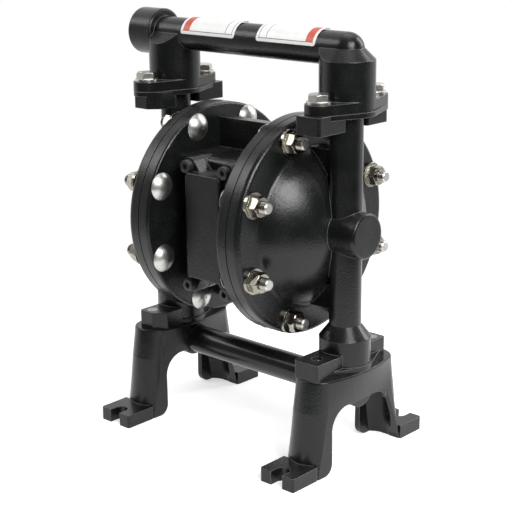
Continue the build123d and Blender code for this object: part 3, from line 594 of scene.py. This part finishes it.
def make_turn(radius, depth, pitch):
    clear_selection()
    bpy.ops.mesh.primitive_torus_add(major_segments=RING_SIDES, minor_segments=4, major_radius=radius,
                                     minor_radius=depth, rotation=(0, pi / 2, 0))
    turn = start_piece("thread_turn")
    bpy.ops.object.transform_apply()
    bpy.ops.object.mode_set(mode="EDIT")
    bpy.ops.mesh.select_all(action="SELECT")
    bpy.ops.transform.resize(value=(TURN_HALF_WIDTH * pitch / depth, 1, 1))
    bpy.ops.object.mode_set(mode="OBJECT")
    return turn


print("one turn has", 4 * RING_SIDES, "faces")


# %% A helper that copies a piece to many places
def copy_to(piece, spots, name, finish):
    copies = []
    for spot in spots:
        one = piece.copy()
        one.data = piece.data.copy()
        bpy.context.scene.collection.objects.link(one)
        one.location = spot
        copies.append(one)
    bpy.data.objects.remove(piece)
    clear_selection()
    for one in copies:
        one.select_set(True)
    bpy.context.view_layer.objects.active = copies[0]
    bpy.ops.object.join()
    joined = start_piece(name)
    bpy.ops.object.transform_apply()
    joined.data.materials.clear()
    joined.data.materials.append(finish)
    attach(joined, "pump")
    print(name, len(copies), "copies,", len(joined.data.polygons), "faces")
    return joined


print("helper ready: copy_to")

# %% Thread the stud ends
nut_high, bolt_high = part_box("right_flange_nuts")[1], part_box("right_flange_bolts")[1]
print("stud ends in mm, from the nut out:", in_mm((nut_high.x, bolt_high.x)))
AXIS_Z, BOLT_CIRCLE, BOLT_COUNT, FIRST_BOLT = 0.164, 0.068, 8, radians(22.5)
STUD_R, STUD_DEPTH, STUD_PITCH, STUD_TURNS = 0.004, 0.0004, 0.00125, 4

for name, side in (("left_stud_threads", -1), ("right_stud_threads", 1)):
    spots = []
    for number in range(BOLT_COUNT):
        angle = FIRST_BOLT + 2 * pi * number / BOLT_COUNT
        y, z = BOLT_CIRCLE * cos(angle), AXIS_Z + BOLT_CIRCLE * sin(angle)
        spots += [(side * (nut_high.x + STUD_PITCH * (step + 0.5)), y, z) for step in range(STUD_TURNS)]
    copy_to(make_turn(STUD_R, STUD_DEPTH, STUD_PITCH), spots, name, thread_steel)

# %% Thread the two fluid ports
TAP_R, TAP_DEPTH, TAP_PITCH, TAP_TURNS = 0.0093, 0.0005, 0.0018, 7
TAP_START = 0.7  # the first turn from the mouth, in pitches
TUBE_Z = 0.0535

ports = (
    ("outlet_port_thread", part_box("outlet_manifold")[0].x, RAIL_Z),
    ("inlet_port_thread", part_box("left_foot")[0].x, TUBE_Z),
)
for name, mouth_x, z in ports:
    spots = [(mouth_x + TAP_PITCH * (step + TAP_START), 0, z) for step in range(TAP_TURNS)]
    copy_to(make_turn(TAP_R, TAP_DEPTH, TAP_PITCH), spots, name, cast_coat)

# %% [markdown]
# ## A painted shadow in the seam between the flanges
# A cap is clamped on its air chamber with the diaphragm's bead between them, and the seam shows as a
# fine dark line all round, where shade lies in it. A groove could be cut in both castings. The castings
# are settled, so the line is a painted shadow: a thin, near black and dull band, an open circle
# extruded to its width and given a wall. Its flats touch the round rim and its corners stand a few
# hundredths proud. It is turned so that flats face front and back.

# %% Measures of the painted seam shadow
FLANGE_R, JOINT_X = 0.0775, 0.0425
LINE_L, LINE_WALL, LINE_SIDES = 0.0008, 0.00025, 96
LINE_R = FLANGE_R / cos(pi / LINE_SIDES) - LINE_WALL
print("the line's corners stand", round(1000 * (LINE_R + LINE_WALL - FLANGE_R), 3), "mm proud")


# %% Make the two painted seam shadows
def seam_shadow_band(name, side):
    clear_selection()
    bpy.ops.mesh.primitive_circle_add(vertices=LINE_SIDES, radius=LINE_R, fill_type="NOTHING",
                                      location=(side * JOINT_X - LINE_L / 2, 0, AXIS_Z),
                                      rotation=(0, pi / 2, 0))
    band = start_piece(name)
    bpy.ops.object.transform_apply()
    bpy.ops.object.mode_set(mode="EDIT")
    bpy.ops.mesh.select_all(action="SELECT")
    bpy.ops.mesh.extrude_region_move(TRANSFORM_OT_translate={"value": (LINE_L, 0, 0)})
    bpy.ops.mesh.select_all(action="SELECT")
    bpy.ops.transform.rotate(value=pi / LINE_SIDES, orient_axis="X", center_override=(0, 0, AXIS_Z))
    bpy.ops.mesh.normals_make_consistent(inside=False)
    bpy.ops.object.mode_set(mode="OBJECT")
    wall = band.modifiers.new("wall", "SOLIDIFY")
    wall.thickness = LINE_WALL
    wall.offset = 1
    apply_modifiers(band)
    bpy.ops.object.shade_smooth_by_angle(angle=radians(30))
    # This finish is a painted shadow of the seam: near black and dull, darker than the pump's rubber.
    band.data.materials.append(seam_shadow)
    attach(band, "pump")
    return band


for name, side in (("left_seam_shadow", -1), ("right_seam_shadow", 1)):
    print(name, in_mm(seam_shadow_band(name, side).dimensions), "mm")

# %% [markdown]
# ## Socket screws of the air valve
# Four socket head screws hold the valve block. The head has a rolled edge and a six-sided socket,
# which the plain CAD screw leaves out. An inset and an extrusion could sink the socket, but a round
# face has no six-sided edge to start from. So the head is a cylinder with its front edge bevelled, the
# socket is cut by a six-sided prism with a Boolean, and the four screws are copies joined into one.

# %% Read where the screws sit
screw_low, screw_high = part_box("valve_screws")
HEAD_R, HEAD_L, SHANK_R = 0.0045, 0.0050, 0.0025
SOCKET_FLATS, SOCKET_DEEP = 0.0040, 0.0028
ROLLED_EDGE, END_MARGIN = 0.0004, 0.0001
screw_length = screw_high.y - screw_low.y
screw_spots = [(x, 0, z) for x in (screw_low.x + HEAD_R, screw_high.x - HEAD_R)
               for z in (screw_low.z + HEAD_R, screw_high.z - HEAD_R)]
print("valve screws at", [in_mm(spot) for spot in screw_spots], "and", in_mm([screw_length]), "mm long")


# %% Make the key that cuts the socket
def socket_key():
    clear_selection()
    bpy.ops.mesh.primitive_cylinder_add(vertices=6, radius=SOCKET_FLATS / 2 / cos(pi / 6),
                                        depth=2 * SOCKET_DEEP, location=(0, screw_low.y, 0),
                                        rotation=(pi / 2, 0, 0))
    return start_piece("socket_key")


print("socket", in_mm((SOCKET_FLATS, SOCKET_DEEP)), "mm across flats and deep")


# %% Shape a screw, drawn in behind its head, where the block hides it
def screw_blank():
    clear_selection()
    bpy.ops.mesh.primitive_cylinder_add(vertices=48, radius=HEAD_R, depth=screw_length,
                                        location=(0, screw_low.y + screw_length / 2, 0),
                                        rotation=(pi / 2, 0, 0))
    screw = start_piece("valve_cap_screw")
    bpy.ops.object.transform_apply()
    bpy.ops.object.mode_set(mode="EDIT")
    cut((0, screw_low.y + HEAD_L, 0), (0, 1, 0))
    bpy.ops.mesh.select_all(action="DESELECT")
    bpy.ops.object.mode_set(mode="OBJECT")
    for vertex in screw.data.vertices:
        vertex.select = vertex.co.y > screw_high.y - END_MARGIN
    bpy.ops.object.mode_set(mode="EDIT")
    bpy.ops.transform.resize(value=(SHANK_R / HEAD_R, 1, SHANK_R / HEAD_R))
    bpy.ops.mesh.select_all(action="DESELECT")
    bpy.ops.object.mode_set(mode="OBJECT")
    return screw


print("screw head", in_mm((2 * HEAD_R, HEAD_L)), "mm across and long")


# %% Cut its socket and roll its edge
def socket_screw():
    key = socket_key()
    screw = screw_blank()
    socket = screw.modifiers.new("socket", "BOOLEAN")
    socket.operation = "DIFFERENCE"
    socket.object = key
    edge = screw.modifiers.new("rolled_edge", "BEVEL")
    edge.width = ROLLED_EDGE
    edge.segments = 3
    edge.limit_method = "ANGLE"
    edge.angle_limit = radians(50)
    apply_modifiers(screw)
    bpy.data.objects.remove(key)
    bpy.ops.object.shade_smooth_by_angle(angle=radians(35))
    return screw


# %% Put it in its four places
cap_screws = copy_to(socket_screw(), screw_spots, "valve_cap_screws", black_steel)
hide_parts("valve_screws")

# %% [markdown]
# ## Floor, walls and light
# The studio is a sheet of pale paper in soft light. White could come from strong lamps, but they would
# burn out the labels. It comes from the paper's colour instead, with a little light of its own that
# only the camera and reflections see, so that nothing extra falls on the pump and its shadow stays. A
# black object is drawn by what it mirrors, so what stands round it matters as much as the lamps: bright
# walls behind the pump edge its round forms, and the room in front of it is dim.


# %% A helper that tells the camera's view from a mirrored one
def ways_of_seeing(tree):
    path = shader(tree, "LightPath").outputs
    mirrored = calculate(tree, "MAXIMUM", path["Is Glossy Ray"], path["Is Transmission Ray"])
    return path["Is Camera Ray"], mirrored


print("helper ready: ways_of_seeing")

# %% Lay the floor
FLOOR_R, PAPER, PAPER_GLOW = 0.5, (0.86, 0.86, 0.86, 1), 0.58

clear_selection()
bpy.ops.mesh.primitive_circle_add(vertices=96, radius=FLOOR_R, fill_type="NGON", location=(0, 0, 0))
floor = start_piece("studio_floor")
material, tree, surface = new_finish("studio_floor", Roughness=0.9)
surface.inputs["Base Color"].default_value = PAPER
surface.inputs["Specular IOR Level"].default_value = 0.1
by_camera, mirrored = ways_of_seeing(tree)
lift = calculate(tree, "MULTIPLY", calculate(tree, "MAXIMUM", by_camera, mirrored), PAPER_GLOW)
glow = shader(tree, "Emission", {"Strength": lift})
both = shader(tree, "AddShader", {0: surface.outputs["BSDF"], 1: glow.outputs["Emission"]})
tree.links.new(both.outputs["Shader"], tree.nodes["Material Output"].inputs["Surface"])
floor.data.materials.append(material)
print("floor", in_mm([2 * FLOOR_R]), "mm across")

# %% Stand up the walls
WHITE_WALL, DIM_ROOM, SOFT_FILL = 1.0, 0.10, 0.28
WALL_TURN = 0.25  # the walls go from white to dim over this much either side of the middle

world = bpy.data.worlds.new("studio_world")
world.use_nodes = True
tree = world.node_tree
sky = tree.nodes["Background"]
sky.inputs["Color"].default_value = (1, 1, 1, 1)
by_camera, mirrored = ways_of_seeing(tree)
outward = shader(tree, "TexCoord").outputs["Generated"]
facing = shader(tree, "VectorMath", {0: outward, 1: back[:]}, operation="DOT_PRODUCT").outputs["Value"]
walls = stretch(tree, facing, start=-WALL_TURN, end=WALL_TURN, low=WHITE_WALL, high=DIM_ROOM)
unmirrored = stretch(tree, by_camera, low=SOFT_FILL, high=WHITE_WALL)
tree.links.new(blend_values(tree, mirrored, unmirrored, walls), sky.inputs["Strength"])
bpy.context.scene.world = world
print("walls:", WHITE_WALL, "behind,", DIM_ROOM, "in front, and", SOFT_FILL, "of soft fill")


# %% Hang the lamps
def soft_box(name, azimuth, elevation, distance, size, power):
    light = bpy.data.lights.new(name, "AREA")
    light.shape = "RECTANGLE"
    light.size, light.size_y = size
    light.energy = power
    lamp = bpy.data.objects.new(name, light)
    bpy.context.scene.collection.objects.link(lamp)
    away = direction(radians(azimuth), radians(elevation))
    lamp.location = AIM + distance * away
    lamp.rotation_euler = away.to_track_quat("Z", "Y").to_euler()
    return lamp


lamps = [
    soft_box("top_box", azimuth=-170, elevation=80, distance=1.2, size=(0.8, 0.8), power=3.5),
    soft_box("key_box", azimuth=71, elevation=34, distance=1.2, size=(0.58, 0.58), power=14.0),
    soft_box("left_box", azimuth=-52, elevation=38, distance=1.3, size=(0.5, 0.5), power=3.5),
    soft_box("rim_box", azimuth=155, elevation=28, distance=1.3, size=(0.4, 0.8), power=6.0),
]
print("lamps in watts:", {lamp.name: round(lamp.data.energy, 1) for lamp in lamps})
